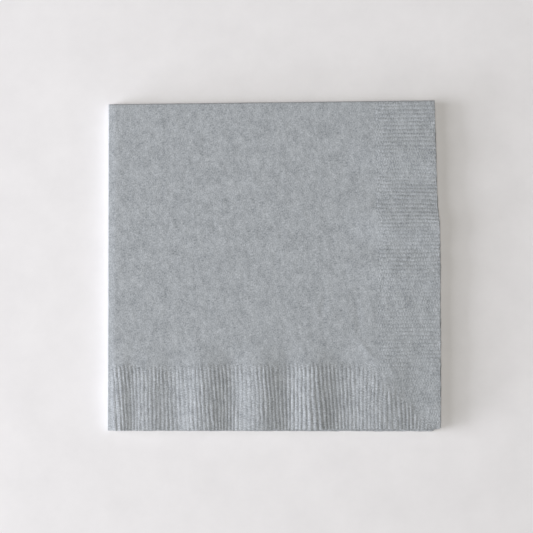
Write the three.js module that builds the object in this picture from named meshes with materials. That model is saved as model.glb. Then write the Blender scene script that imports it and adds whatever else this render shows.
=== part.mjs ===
// A cocktail napkin of embossed tissue paper, folded into quarters and lying flat.
//
// One square sheet is folded in half along its far edge, and the doubled sheet is folded again along its
// left edge. Four layers lie on each other a little apart, and the cut edges meet at the right and at the
// front. A border of fine ribs is pressed in along the cut edges. The border ripples, and its ribs stand
// out of the top layer.
//
// Millimetres, +X to the right, +Y to the far fold, +Z up. The origin is the middle of the underside.

import * as THREE from 'three';

// The cut sheet
const SHEET_SIDE = 254;
const SHEET_THICKNESS = 1;
const CORNER_RADIUS = 0.5;

// The clear space inside the doubled sheet, and between its halves once it is folded again
const PLY_GAP = 0.35;
const PACKET_GAP = 0.4;

// The ribbed border along the cut edges, which is a little narrower at the sides of the sheet
const RIB_PITCH = 1.5;
const RIBS_ACROSS_BORDER = 17;
const SIDE_BORDER_START = 104.05;
const RIB_HEIGHT = 0.22;
const RIB_RUN_IN = 1.2;
const RIB_FADE_AT_LEFT_FOLD = 2.5;
const RIB_FADE_AT_FAR_FOLD = 1;

// Where the border ripples: how far along it from the fold, how high at the cut edge, and how wide
const FRONT_RIPPLES = [
  { along: 5.5, rise: 0.4, halfWidth: 5 },
  { along: 16.5, rise: 0.4, halfWidth: 8 },
  { along: 37, rise: 1.1, halfWidth: 12 },
  { along: 59, rise: 1.25, halfWidth: 12 },
  { along: 79, rise: 1.1, halfWidth: 10.5 },
  { along: 106, rise: 0.65, halfWidth: 14 },
];
const RIGHT_RIPPLES = [
  { along: 20.5, rise: 0.75, halfWidth: 10 },
  { along: 48, rise: 1.15, halfWidth: 10 },
  { along: 66.5, rise: 0.65, halfWidth: 9 },
  { along: 98, rise: 0.45, halfWidth: 14 },
];
const RIPPLE_HEIGHT_POWER = 1.5;

// How far inside the cut edge the ripples keep their height, and where they have died away
const RIPPLE_FULL_WITHIN = 16;
const RIPPLE_REACH = 38;

// How far the lower layers are tucked in at the left fold, and how far from it they lie true again
const FOLD_TUCK = 1;
const FOLD_TUCK_REACH = 30;

// How far each layer's corners lie off a true rectangle, to the right (x) and to the far side (y), and how
// much its right edge bulges. The far left corner is where both folds meet, and lies true.
const LAYERS = [
  {
    name: 'bottom',
    farRight: { x: -1.4, y: 1 },
    frontRight: { x: -1, y: -0.3 },
    frontLeft: { x: -0.1, y: 0 },
    bulge: 0,
  },
  {
    name: 'third',
    farRight: { x: -1.4, y: 1 },
    frontRight: { x: -1, y: -0.1 },
    frontLeft: { x: -0.1, y: 0.1 },
    bulge: 0.3,
  },
  {
    name: 'second',
    farRight: { x: -0.8, y: 1.5 },
    frontRight: { x: 1.4, y: 1.1 },
    frontLeft: { x: -0.2, y: 0.3 },
    bulge: 1,
  },
  {
    name: 'top',
    farRight: { x: -0.7, y: 1.5 },
    frontRight: { x: 1.8, y: 1.05 },
    frontLeft: { x: -0.3, y: 0.2 },
    bulge: 1,
  },
];

// The bulge of the right edge, past the straight line between its corners
const RIGHT_BULGE = [
  { down: 0, out: 0 },
  { down: 23, out: 0.2 },
  { down: 41, out: 0.4 },
  { down: 47, out: 1.05 },
  { down: 54, out: 1.15 },
  { down: 90, out: 0.65 },
  { down: 127, out: 0 },
];
const BULGE_POWER = 4;
const SKEW_POWER = 3;

// How finely the faces are divided
const FAR_FOLD_STEPS = 6;
const LEFT_FOLD_STEPS = 8;
const PANEL_STEPS = 8;
const PANEL_MARGIN = 6;
const STEPS_ACROSS_BORDER = 2;
const PLAIN_STEPS_PER_BORDER = 7;
const SAME_PLACE = 1e-6;

// Sizes that follow from those above
const HALF_SIDE = SHEET_SIDE / 2;
const BORDER = RIB_PITCH * RIBS_ACROSS_BORDER;
const BORDER_START = HALF_SIDE - BORDER;
const RIB_START = { s: SIDE_BORDER_START, t: BORDER_START };
const FAR_RADIUS = (SHEET_THICKNESS + PLY_GAP) / 2;
const FAR_OUTER_RADIUS = FAR_RADIUS + SHEET_THICKNESS / 2;
const LEFT_RADIUS = FAR_OUTER_RADIUS + PACKET_GAP / 2;
const LEFT_OUTER_RADIUS = LEFT_RADIUS + FAR_OUTER_RADIUS;
const QUARTER_TURN = Math.PI / 2;
const FAR_ARC = QUARTER_TURN * FAR_RADIUS;
const LEFT_ARC = QUARTER_TURN * LEFT_RADIUS;
const HEIGHT = 2 * LEFT_OUTER_RADIUS;
const WIDTH = HALF_SIDE - LEFT_ARC + LEFT_OUTER_RADIUS;
const DEPTH = HALF_SIDE - FAR_ARC + FAR_OUTER_RADIUS;

const clamp = THREE.MathUtils.clamp;
const lerp = THREE.MathUtils.lerp;
const smoothstep = THREE.MathUtils.smoothstep;

// The height of the middle of each layer, from the bottom layer to the top one
function layerHeights() {
  const doubled = 2 * SHEET_THICKNESS + PLY_GAP;
  const first = SHEET_THICKNESS / 2;
  const second = first + SHEET_THICKNESS + PLY_GAP;
  return [first, second, first + doubled + PACKET_GAP, second + doubled + PACKET_GAP];
}

const LAYER_HEIGHTS = layerHeights();

// The value of a table between its rows, where each row has a place and a value
function between(rows, placeOf, valueOf, place) {
  const next = rows.findIndex((row) => placeOf(row) >= place);
  if (next === -1) return valueOf(rows.at(-1));
  if (next === 0) return valueOf(rows[0]);
  const start = placeOf(rows[next - 1]);
  const share = (place - start) / (placeOf(rows[next]) - start);
  return lerp(valueOf(rows[next - 1]), valueOf(rows[next]), share);
}

// A layer's measure at a height, where the folds lead from one layer to the next
function atHeight(z, measureOf) {
  const rows = LAYERS.map((layer, index) => ({ z: LAYER_HEIGHTS[index], value: measureOf(layer) }));
  return between(rows, (row) => row.z, (row) => row.value, z);
}

// The height of the ripples at a place along the border
function rippleRise(ripples, place) {
  return ripples.reduce((sum, ripple) => {
    const off = Math.abs(place - ripple.along) / ripple.halfWidth;
    return off < 1 ? sum + (ripple.rise * (1 + Math.cos(Math.PI * off))) / 2 : sum;
  }, 0);
}

// How far the top layer is lifted by the border's ripples
function rippleLift(x, y) {
  const towardsFront = 1 - smoothstep(DEPTH + y, RIPPLE_FULL_WITHIN, RIPPLE_REACH);
  const towardsRight = 1 - smoothstep(WIDTH - x, RIPPLE_FULL_WITHIN, RIPPLE_REACH);
  return rippleRise(FRONT_RIPPLES, x) * towardsFront + rippleRise(RIGHT_RIPPLES, -y) * towardsRight;
}

// A point of the true, flat fold moved to where the hand-folded, rippled paper lies. The underside stays
// flat.
function uneven(point) {
  const right = Math.max(point.x / WIDTH, 0);
  const front = -point.y / DEPTH;
  const skew = (axis, share) =>
    atHeight(point.z, (layer) => layer.farRight[axis]) * share * (1 - front) +
    atHeight(point.z, (layer) => layer.frontRight[axis]) * share * front +
    atHeight(point.z, (layer) => layer.frontLeft[axis]) * (1 - right) * front;
  const out = between(RIGHT_BULGE, (row) => row.down, (row) => row.out, -point.y);
  const bulge = out * atHeight(point.z, (layer) => layer.bulge) * right ** BULGE_POWER;
  const tuck = FOLD_TUCK * (1 - smoothstep(point.x, 0, FOLD_TUCK_REACH)) * (1 - point.z / HEIGHT);
  const lift = rippleLift(point.x, point.y) * (point.z / HEIGHT) ** RIPPLE_HEIGHT_POWER;
  const x = point.x + skew('x', right ** SKEW_POWER) + bulge + tuck;
  return new THREE.Vector3(x, point.y + skew('y', right), point.z + lift);
}

// The height of the ribs on the face of the top layer. Each half of the corner keeps its own edge's ribs.
function ribHeight(s, t) {
  if (s <= 0 || t <= 0) return 0;
  const acrossRibs = Math.min(s, t);
  const turns = (HALF_SIDE - acrossRibs) / RIB_PITCH;
  const ridge = 1 - Math.abs(2 * (turns - Math.floor(turns)) - 1);
  const fold = t >= s ? LEFT_ARC : FAR_ARC;
  const fade = t >= s ? RIB_FADE_AT_LEFT_FOLD : RIB_FADE_AT_FAR_FOLD;
  const start = t >= s ? RIB_START.t : RIB_START.s;
  const runIn = smoothstep(Math.max(s, t) - start, 0, RIB_RUN_IN);
  return RIB_HEIGHT * ridge * runIn * smoothstep(acrossRibs - fold, 0, fade);
}

// A sheet point with the sheet's square corners rounded off
function roundedCorner(s, t) {
  const straight = HALF_SIDE - CORNER_RADIUS;
  const u = (Math.abs(s) - straight) / CORNER_RADIUS;
  const v = (Math.abs(t) - straight) / CORNER_RADIUS;
  if (u <= 0 || v <= 0) return { s, t };
  return {
    s: Math.sign(s) * (straight + CORNER_RADIUS * u * Math.sqrt(1 - v ** 2 / 2)),
    t: Math.sign(t) * (straight + CORNER_RADIUS * v * Math.sqrt(1 - u ** 2 / 2)),
  };
}

// The place in space of a point of the cut sheet. s runs across the left fold and t across the far fold,
// both from the sheet's middle, and outside says which of the sheet's two faces the point is on.
function folded(cutS, cutT, outside) {
  const { s, t } = roundedCorner(cutS, cutT);
  const radius = FAR_RADIUS + (outside ? SHEET_THICKNESS : -SHEET_THICKNESS) / 2;
  const farTurn = clamp(t / FAR_RADIUS, -QUARTER_TURN, QUARTER_TURN);
  const leftTurn = clamp(s / LEFT_RADIUS, -QUARTER_TURN, QUARTER_TURN);
  const fromFar = FAR_OUTER_RADIUS - radius * Math.cos(farTurn) + Math.max(0, Math.abs(t) - FAR_ARC);
  const arm = LEFT_RADIUS + radius * Math.sin(farTurn);
  const fromLeft = LEFT_OUTER_RADIUS - arm * Math.cos(leftTurn) + Math.max(0, Math.abs(s) - LEFT_ARC);
  const point = uneven(new THREE.Vector3(fromLeft, -fromFar, LEFT_OUTER_RADIUS + arm * Math.sin(leftTurn)));
  if (outside) point.z += ribHeight(cutS, cutT);
  return point;
}

// The vertices and triangles of the sheet
class SheetSkin {
  constructor() {
    this.positions = [];
    this.triangles = [];
    this.known = new Map();
  }

  // The number of a vertex, made when it is first asked for
  vertex({ s, t, outside }) {
    const key = `${s.toFixed(4)} ${t.toFixed(4)} ${outside}`;
    if (!this.known.has(key)) {
      this.known.set(key, this.positions.length / 3);
      this.positions.push(...folded(s, t, outside).toArray());
    }
    return this.known.get(key);
  }

  // A triangle of a face, turned so that it looks away from the paper
  faceTriangle(a, b, c) {
    const clockwise = (b.s - a.s) * (c.t - a.t) - (b.t - a.t) * (c.s - a.s) < 0;
    this.triangle(a, clockwise === a.outside ? b : c, clockwise === a.outside ? c : b);
  }

  triangle(a, b, c) {
    this.triangles.push(this.vertex(a), this.vertex(b), this.vertex(c));
  }

  // Triangles between two rows of points, which advance together along one axis of the sheet. The row whose
  // next step has the nearer middle goes first, so that each point of a coarse row fans out to both sides.
  stitch(rowA, rowB, along, add) {
    const middle = (row, index) => {
      return index < row.length - 1 ? (row[index][along] + row[index + 1][along]) / 2 : Infinity;
    };
    let a = 0;
    let b = 0;
    while (a < rowA.length - 1 || b < rowB.length - 1) {
      if (middle(rowA, a) <= middle(rowB, b)) {
        add(rowA[a], rowA[a + 1], rowB[b]);
        a += 1;
      } else {
        add(rowB[b + 1], rowB[b], rowA[a]);
        b += 1;
      }
    }
  }

  // Face triangles between each row and the next
  stitchRows(rows, along) {
    rows.slice(1).forEach((row, index) => {
      this.stitch(rows[index], row, along, (a, b, c) => this.faceTriangle(a, b, c));
    });
  }

  geometry() {
    const geometry = new THREE.BufferGeometry();
    geometry.setAttribute('position', new THREE.Float32BufferAttribute(this.positions, 3));
    geometry.setIndex(this.triangles);
    geometry.computeBoundingBox();
    const middle = geometry.boundingBox.getCenter(new THREE.Vector3());
    geometry.translate(-middle.x, -middle.y, 0);
    geometry.computeVertexNormals();
    return geometry;
  }
}

// Evenly spaced numbers from start to end, both included
function spread(start, end, steps) {
  return Array.from({ length: steps + 1 }, (_, index) => lerp(start, end, index / steps));
}

// The lines of a quarter's inner panel, from the fold to a little short of the border
function panelLines(fold) {
  return spread(fold, BORDER_START - PANEL_MARGIN, PANEL_STEPS);
}

// The lines that run along the border, at places across it. Where its ribs stand out, there are lines where
// they start and where they reach their height.
function borderRows(across, ribbed) {
  const rows = spread(BORDER_START, HALF_SIDE, STEPS_ACROSS_BORDER);
  const start = RIB_START[across];
  return ribbed ? [...new Set([rows[0], start, start + RIB_RUN_IN, ...rows.slice(1)])] : rows;
}

// The lines that run across the border, from the fold to the corner, on every crest and trough of the ribs
// where they stand out, and wider apart elsewhere
function borderLines(fold, ribbed) {
  const step = ribbed ? RIB_PITCH / 2 : BORDER / PLAIN_STEPS_PER_BORDER;
  const count = Math.floor((HALF_SIDE - fold - step / 2) / step);
  return [fold, ...spread(HALF_SIDE - count * step, HALF_SIDE, count)];
}

// All lines of a quarter, from its fold to the cut edge, where they cross the other fold
function foldLines(fold, across) {
  return [...panelLines(fold), ...borderRows(across, true)];
}

// The lines along the far fold on both sides of it, with those round the fold itself between them
function linesAcrossFarFold() {
  const lines = foldLines(FAR_ARC, 't');
  const round = spread(-FAR_ARC, FAR_ARC, FAR_FOLD_STEPS).slice(1, -1);
  return [...lines.map((line) => -line).reverse(), ...round, ...lines];
}

// One quarter of one face: its panel, the border at the front and the border at the right, which meet in a
// mitre. Both borders are built by one function, with the two axes exchanged.
function addQuarter(skin, signS, signT, outside) {
  const ribbed = outside && signS > 0 && signT > 0;
  const lines = { s: borderLines(LEFT_ARC, ribbed), t: borderLines(FAR_ARC, ribbed) };
  const panel = { s: panelLines(LEFT_ARC), t: panelLines(FAR_ARC) };
  const at = (s, t) => ({ s: s * signS, t: t * signT, outside });
  // Rows advance outwards from the folds, so they are compared by distance and not by sign
  const stitchOutwards = (rows, along) => {
    const outward = rows.map((row) => row.map((point) => ({ ...point, run: Math.abs(point[along]) })));
    skin.stitchRows(outward, 'run');
  };

  stitchOutwards(panel.t.map((t) => panel.s.map((s) => at(s, t))), 's');

  const addBorder = (along, across) => {
    const place = (run, out) => (along === 's' ? at(run, out) : at(out, run));
    const beside = lines[along].filter((run) => run < BORDER_START + SAME_PLACE);
    const panelEdge = panel[along].map((run) => place(run, panel[across].at(-1)));
    stitchOutwards([panelEdge, beside.map((run) => place(run, BORDER_START))], along);
    const columns = lines[along].map((run, index) => {
      const start = Math.max(run, BORDER_START);
      const further = borderRows(across, ribbed || index === 0).filter((out) => out > start + SAME_PLACE);
      return [start, ...further].map((out) => place(run, out));
    });
    stitchOutwards(columns, across);
  };
  addBorder('s', 't');
  addBorder('t', 's');
}

// The folds of one face: the left fold over its whole length, and the far fold on both sides of it
function addFolds(skin, outside) {
  const at = (s, t) => ({ s, t, outside });
  const acrossFar = linesAcrossFarFold();
  const roundLeft = spread(-LEFT_ARC, LEFT_ARC, LEFT_FOLD_STEPS);
  skin.stitchRows(roundLeft.map((s) => acrossFar.map((t) => at(s, t))), 't');
  for (const sign of [-1, 1]) {
    const rows = foldLines(LEFT_ARC, 's').map((s) => {
      return spread(-FAR_ARC, FAR_ARC, FAR_FOLD_STEPS).map((t) => at(sign * s, t));
    });
    skin.stitchRows(rows, 't');
  }
}

// The cut edge on one side of the sheet, between its two faces
function addCutEdge(skin, along, sign) {
  const across = along === 's' ? 't' : 's';
  const fold = along === 's' ? LEFT_ARC : FAR_ARC;
  const steps = along === 's' ? LEFT_FOLD_STEPS : FAR_FOLD_STEPS;
  const row = (outside) => {
    const before = borderLines(fold, false).map((run) => -run);
    const after = borderLines(fold, outside && sign > 0);
    const runs = [...before.reverse(), ...spread(-fold, fold, steps).slice(1, -1), ...after];
    return runs.map((run) => ({ [along]: run, [across]: sign * HALF_SIDE, outside }));
  };
  const forward = (along === 's') === (sign < 0);
  skin.stitch(row(true), row(false), along, (a, b, c) => {
    skin.triangle(forward ? a : b, forward ? b : a, c);
  });
}

function foldedSheetGeometry() {
  const skin = new SheetSkin();
  for (const outside of [true, false]) {
    for (const signS of [-1, 1]) {
      for (const signT of [-1, 1]) addQuarter(skin, signS, signT, outside);
    }
    addFolds(skin, outside);
  }
  for (const along of ['s', 't']) {
    for (const sign of [-1, 1]) addCutEdge(skin, along, sign);
  }
  return skin.geometry();
}

const tissuePaper = new THREE.MeshStandardMaterial({ color: 0xa1a4a8, roughness: 0.95, metalness: 0 });

const napkin = new THREE.Mesh(foldedSheetGeometry(), tissuePaper);
napkin.name = 'napkin';

const foldedNapkin = new THREE.Group();
foldedNapkin.add(napkin);

export default foldedNapkin;
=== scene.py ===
"""The folded cocktail napkin: one square sheet of grey tissue paper with a pressed, ribbed border.

The sheet is folded in half along its far edge and again along its left edge, and it lies flat. Sizes in the
classes are millimetres unless a name or a comment says otherwise, and meshes are made in metres.
"""

import logging
import math
from collections.abc import Iterator, Sequence
from dataclasses import dataclass, field
from enum import Enum

import bpy
import numpy as np
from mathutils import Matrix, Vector


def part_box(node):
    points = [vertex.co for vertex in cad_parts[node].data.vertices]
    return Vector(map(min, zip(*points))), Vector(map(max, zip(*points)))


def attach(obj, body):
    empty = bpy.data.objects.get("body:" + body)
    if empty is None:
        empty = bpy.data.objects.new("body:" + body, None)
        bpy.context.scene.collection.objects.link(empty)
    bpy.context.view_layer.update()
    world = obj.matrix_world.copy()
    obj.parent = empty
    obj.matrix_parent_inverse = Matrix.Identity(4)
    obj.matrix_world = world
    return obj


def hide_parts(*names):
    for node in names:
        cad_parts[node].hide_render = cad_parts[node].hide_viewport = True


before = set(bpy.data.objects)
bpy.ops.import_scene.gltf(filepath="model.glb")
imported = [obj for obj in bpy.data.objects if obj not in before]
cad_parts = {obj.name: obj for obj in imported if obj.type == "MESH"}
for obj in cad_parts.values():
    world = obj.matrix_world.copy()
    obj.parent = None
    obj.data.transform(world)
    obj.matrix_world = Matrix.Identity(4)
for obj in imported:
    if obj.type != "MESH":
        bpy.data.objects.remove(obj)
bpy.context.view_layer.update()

LOG = logging.getLogger("napkin")
MM = 0.001
# Places on the sheet that are less than this apart, in millimetres, are one place
SAME_PLACE = 0.001
NODE_NAME = "napkin"
SHEET_MAP = "sheet"
# The pressed ribs are this far apart, in millimetres
RIB_PITCH = 1.5
# The two kinds of node that work out a sum
MATH = "ShaderNodeMath"
VECTOR_MATH = "ShaderNodeVectorMath"

Array = np.ndarray
Row = list[tuple[float, int]]


class Face(Enum):
    """The two faces of the paper: the one outside the first fold, and the one inside it."""

    OUTSIDE = 1
    INSIDE = -1


class Edge(Enum):
    """The cut edges of a folded quarter, by the axis of the sheet that runs along them."""

    FRONT = 0
    RIGHT = 1


def linear_colour(hex_code: str) -> tuple[float, float, float, float]:
    """Turns an sRGB hex colour into the linear values that a shader takes.

    Args:
        hex_code: Six hex digits, such as "a1a4a8".

    Returns:
        Red, green, blue and an alpha of 1.
    """
    shares = [int(hex_code[i : i + 2], 16) / 255 for i in (0, 2, 4)]
    red, green, blue = (c / 12.92 if c <= 0.04045 else ((c + 0.055) / 1.055) ** 2.4 for c in shares)
    return red, green, blue, 1.0


def add_node(
    tree: bpy.types.NodeTree, kind: str, settings: dict | str | None = None, **inputs: object
) -> bpy.types.Node:
    """Adds one node with its settings and links.

    Args:
        tree: The node tree it goes into.
        kind: Blender's name for the node.
        settings: Properties of the node itself, or only the name of its operation.
        **inputs: A value or an output socket for each input, or a node, which stands for its first output.
            They go by the input's name with spaces as underscores, or by its number, as in _0.

    Returns:
        The new node.
    """
    node = tree.nodes.new(kind)
    if isinstance(settings, str):
        settings = {"operation": settings}
    for name, value in (settings or {}).items():
        setattr(node, name, value)
    for name, value in inputs.items():
        key = int(name[1:]) if name[0] == "_" else name.replace("_", " ")
        socket = node.inputs[key]
        if isinstance(value, bpy.types.Node):
            value = value.outputs[0]
        if isinstance(value, bpy.types.NodeSocket):
            tree.links.new(value, socket)
        else:
            socket.default_value = value
    return node


def smooth(share: Array) -> Array:
    """Rises softly from 0 to 1 as share does."""
    share = np.clip(share, 0, 1)
    return share * share * (3 - 2 * share)


@dataclass(frozen=True)
class CutSheet:
    """The square of tissue paper before it is folded, and the border pressed into it.

    The border is pressed a little off the middle, so it is narrower along the two side edges. Its inner line
    there is side_border_start from the middle of the sheet.
    """

    side: float = 254.0
    thickness: float = 0.6
    corner_radius: float = 0.5
    rib_pitch: float = RIB_PITCH
    ribs_across_border: int = 17
    side_border_start: float = 104.05

    @property
    def half(self) -> float:
        """Half the side, which is the side of a folded quarter."""
        return self.side / 2

    @property
    def border(self) -> float:
        """The width of the ribbed border."""
        return self.rib_pitch * self.ribs_across_border

    @property
    def border_start(self) -> float:
        """How far the inner line of the front and far borders is from the middle of the sheet."""
        return self.half - self.border

    def rounded(self, s: Array, t: Array) -> tuple[Array, Array]:
        """Rounds off the square corners of the sheet.

        Args:
            s: Places across the left fold.
            t: Places across the far fold.

        Returns:
            The same places, moved where they lie in a corner.
        """
        straight = self.half - self.corner_radius
        u = np.clip((np.abs(s) - straight) / self.corner_radius, 0, 1)
        v = np.clip((np.abs(t) - straight) / self.corner_radius, 0, 1)
        in_corner = (u > 0) & (v > 0)
        round_s = np.sign(s) * (straight + self.corner_radius * u * np.sqrt(1 - v**2 / 2))
        round_t = np.sign(t) * (straight + self.corner_radius * v * np.sqrt(1 - u**2 / 2))
        return np.where(in_corner, round_s, s), np.where(in_corner, round_t, t)


@dataclass(frozen=True)
class Ripple:
    """One swell of the border: its place along the border, its height at the cut edge and its half width."""

    along: float
    rise: float
    half_width: float


@dataclass(frozen=True)
class Crease:
    """A soft trough or ridge in the top layer, lying along a slanted line.

    Its middle is given to the right of the far left corner and down from it, its lean is in degrees, and its
    rise is negative in a trough.
    """

    right: float
    down: float
    length: float
    width: float
    lean: float
    rise: float
    end_fade: float = 1.5

    def lift(self, x: Array, y: Array) -> Array:
        """How far the crease lifts each point.

        Args:
            x: Distances to the right of the far left corner.
            y: Distances up from it, which are negative on the napkin.

        Returns:
            Lifts, which are negative in a trough.
        """
        angle = math.radians(self.lean)
        dx = x - self.right
        dy = -y - self.down
        along = (dx * math.sin(angle) + dy * math.cos(angle)) / (self.length / 2)
        across = (dx * math.cos(angle) - dy * math.sin(angle)) / (self.width / 2)
        return self.rise * np.exp(-(along**2) * self.end_fade - across**2)


@dataclass(frozen=True)
class Layer:
    """How far the corners of one layer lie off a true rectangle, and how much its right edge bulges.

    Offsets are pairs: to the right, and to the far side. The far left corner lies true. wave is how much the
    layer undulates by itself between its neighbours, near the cut edges.
    """

    name: str
    far_right: tuple[float, float]
    front_right: tuple[float, float]
    front_left: tuple[float, float]
    bulge: float
    wave: float
    wave_turn: float


@dataclass(frozen=True)
class Unevenness:
    """Everything that keeps the folded paper from being a true flat square.

    The height powers say how fast something fades below the top of the stack, and the others how fast it
    fades away from the right edge.
    """

    front_ripples: tuple[Ripple, ...] = (
        Ripple(5.5, 0.4, 5),
        Ripple(16.5, 0.4, 8),
        Ripple(37, 1.1, 12),
        Ripple(59, 1.25, 12),
        Ripple(79, 1.1, 10.5),
        Ripple(106, 0.65, 14),
    )
    right_ripples: tuple[Ripple, ...] = (
        Ripple(20.5, 0.75, 10),
        Ripple(48, 1.15, 10),
        Ripple(66.5, 0.65, 9),
        Ripple(98, 0.45, 14),
    )
    skew_power: float = 3.0
    ripple_reach: float = 38.0
    ripple_full_within: float = 16.0
    ripple_height_power: float = 1.5
    layers: tuple[Layer, ...] = (
        Layer("bottom", (-1.4, 1.0), (-1.0, 0.1), (-0.1, 0.4), 0.0, 0.0, 0.0),
        Layer("third", (-1.4, 1.0), (-1.0, 0.3), (-0.1, 0.5), 0.3, 0.22, 1.1),
        Layer("second", (-0.45, 1.5), (2.05, 1.3), (-0.2, 0.6), 1.0, 0.22, 3.4),
        Layer("top", (-0.7, 1.5), (1.7, 1.25), (-0.3, 0.5), 1.0, 0.0, 0.0),
    )
    wave_length: float = 31.0
    bulge_down: tuple[float, ...] = (0, 23, 41, 47, 54, 90, 127)
    bulge_out: tuple[float, ...] = (0, 0.2, 0.4, 1.05, 1.15, 0.65, 0)
    bulge_power: float = 4.0
    creases: tuple[Crease, ...] = (
        Crease(83.4, 79.5, 12, 2.2, -8, -0.14),
        Crease(96.6, 84.0, 13, 2.0, 6, -0.17),
        Crease(99.6, 96.2, 9, 2.0, 38, 0.2),
        Crease(57.5, 30.0, 9, 3.0, 30, 0.12),
    )
    crease_height_power: float = 4.0
    fold_roll: float = 0.35
    fold_roll_reach: float = 3.2
    fold_tuck: float = 1.0
    fold_tuck_reach: float = 30.0
    cut_waver: float = 0.16
    cut_waver_lengths: tuple[float, ...] = (23.0, 9.1, 4.3)
    cut_waver_reach: float = 3.0
    cut_waver_turn: float = 1.7

    def ripple_rise(self, ripples: Sequence[Ripple], place: Array) -> Array:
        """The height of the ripples.

        Args:
            ripples: The ripples of one border.
            place: Places along it.

        Returns:
            The height at each place.
        """
        total = np.zeros_like(place)
        for ripple in ripples:
            off = np.clip(np.abs(place - ripple.along) / ripple.half_width, 0, 1)
            total += ripple.rise * (1 + np.cos(np.pi * off)) / 2
        return total


@dataclass(frozen=True)
class QuarterFold:
    """Folds the cut sheet along its far edge and then along its left edge.

    A press of 1 leaves a fold round, and a smaller one flattens it. The width and the depth are those of the
    folded square before it is skewed.
    """

    sheet: CutSheet = field(default_factory=CutSheet)
    uneven: Unevenness = field(default_factory=Unevenness)
    ply_gap: float = 0.85
    packet_gap: float = 1.0
    far_press: float = 0.3
    left_press: float = 0.2
    width: float = 127.39
    depth: float = 127.11

    @property
    def far_radius(self) -> float:
        """The radius of the far fold, at the middle of the paper."""
        return (self.sheet.thickness + self.ply_gap) / 2

    @property
    def far_outer(self) -> float:
        """The radius of the far fold, outside the paper."""
        return self.far_radius + self.sheet.thickness / 2

    @property
    def left_radius(self) -> float:
        """The radius of the left fold, at the middle of the doubled sheet."""
        return self.far_outer + self.packet_gap / 2

    @property
    def left_outer(self) -> float:
        """The radius of the left fold, outside the paper, which is half the height of the stack."""
        return self.left_radius + self.far_outer

    @property
    def far_arc(self) -> float:
        """How far the far fold's curve reaches into the sheet on each side."""
        return math.pi / 2 * self.far_radius

    @property
    def left_arc(self) -> float:
        """How far the left fold's curve reaches into the sheet on each side."""
        return math.pi / 2 * self.left_radius

    def layer_heights(self) -> list[float]:
        """The height of the middle of each layer, from the bottom one up."""
        first = self.sheet.thickness / 2
        second = first + self.sheet.thickness + self.ply_gap
        packet = 2 * self.sheet.thickness + self.ply_gap + self.packet_gap
        return [first, second, first + packet, second + packet]

    def true_fold(self, s: Array, t: Array, face: Array) -> Array:
        """Where points of the sheet lie if it is folded true.

        Args:
            s: Places across the left fold, from the middle of the sheet.
            t: Places across the far fold, from the middle of the sheet.
            face: 1 on the face outside the first fold, -1 on the one inside it.

        Returns:
            Points as rows of x, y and z, with the far left corner at x = 0 and y = 0.
        """
        half = self.sheet.half
        radius = self.far_radius + face * self.sheet.thickness / 2
        far_turn = np.clip(t / self.far_radius, -math.pi / 2, math.pi / 2)
        left_turn = np.clip(s / self.left_radius, -math.pi / 2, math.pi / 2)
        far_end = self.far_press * self.far_outer
        left_end = self.left_press * self.left_outer
        far_run = np.maximum(0, np.abs(t) - self.far_arc) / (half - self.far_arc) * (self.depth - far_end)
        left_run = np.maximum(0, np.abs(s) - self.left_arc) / (half - self.left_arc) * (self.width - left_end)
        arm = self.left_radius + radius * np.sin(far_turn)
        x = self.left_press * (self.left_outer - arm * np.cos(left_turn)) + left_run
        y = -self.far_press * (self.far_outer - radius * np.cos(far_turn)) - far_run
        z = self.left_outer + arm * np.sin(left_turn)
        return np.stack([x, y, z], axis=1)

    def at_height(self, z: Array, values: Sequence[float]) -> Array:
        """A measure of the layers, one value each from the bottom up, at heights between them."""
        return np.interp(z, self.layer_heights(), values)

    def laid(self, points: Array) -> Array:
        """Moves points of the true fold to where the hand-folded, rippled paper lies.

        Args:
            points: Rows of x, y and z.

        Returns:
            The points moved. Points at z = 0 stay at that height.
        """
        x, y, z = points.T
        rules = self.uneven
        right = x / self.width
        front = -y / self.depth
        moved = points.copy()
        for axis in (0, 1):
            far_right = self.at_height(z, [layer.far_right[axis] for layer in rules.layers])
            front_right = self.at_height(z, [layer.front_right[axis] for layer in rules.layers])
            front_left = self.at_height(z, [layer.front_left[axis] for layer in rules.layers])
            skewed = right if axis else np.maximum(right, 0) ** rules.skew_power
            moved[:, axis] += (far_right * (1 - front) + front_right * front) * skewed
            moved[:, axis] += front_left * (1 - right) * front
        out = np.interp(-y, rules.bulge_down, rules.bulge_out)
        bulge = self.at_height(z, [layer.bulge for layer in rules.layers])
        moved[:, 0] += out * bulge * np.maximum(right, 0) ** rules.bulge_power
        moved[:, 0] += self.cut_waver(y, z, self.width - x)
        moved[:, 1] += self.cut_waver(x, z, self.depth + y)
        share = z / (2 * self.left_outer)
        moved[:, 2] += self.ripple_lift(x, y) * share**rules.ripple_height_power
        moved[:, 2] += self.layer_waves(x, y, z)
        tucked = smooth(1 - x / rules.fold_tuck_reach)
        moved[:, 0] += rules.fold_tuck * tucked * (1 - share)
        rolled = smooth(1 - x / rules.fold_roll_reach)
        moved[:, 2] -= rules.fold_roll * rolled * share**rules.crease_height_power
        for crease in rules.creases:
            moved[:, 2] += crease.lift(x, y) * share**rules.crease_height_power
        return moved

    def cut_waver(self, place: Array, z: Array, inside: Array) -> Array:
        """How far each layer's cut edge wavers from a straight line.

        Args:
            place: Places along the edge.
            z: Heights in the true fold, which part the layers.
            inside: Distances inside the edge.

        Returns:
            Small distances in the plane, which fade out just inside the edge.
        """
        rules = self.uneven
        near = smooth(1 - inside / rules.cut_waver_reach)
        total = np.zeros_like(place)
        for index, length in enumerate(rules.cut_waver_lengths):
            total += np.sin(2 * math.pi * place / length + z * (rules.cut_waver_turn + index))
        return rules.cut_waver * total * near / len(rules.cut_waver_lengths)

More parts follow.
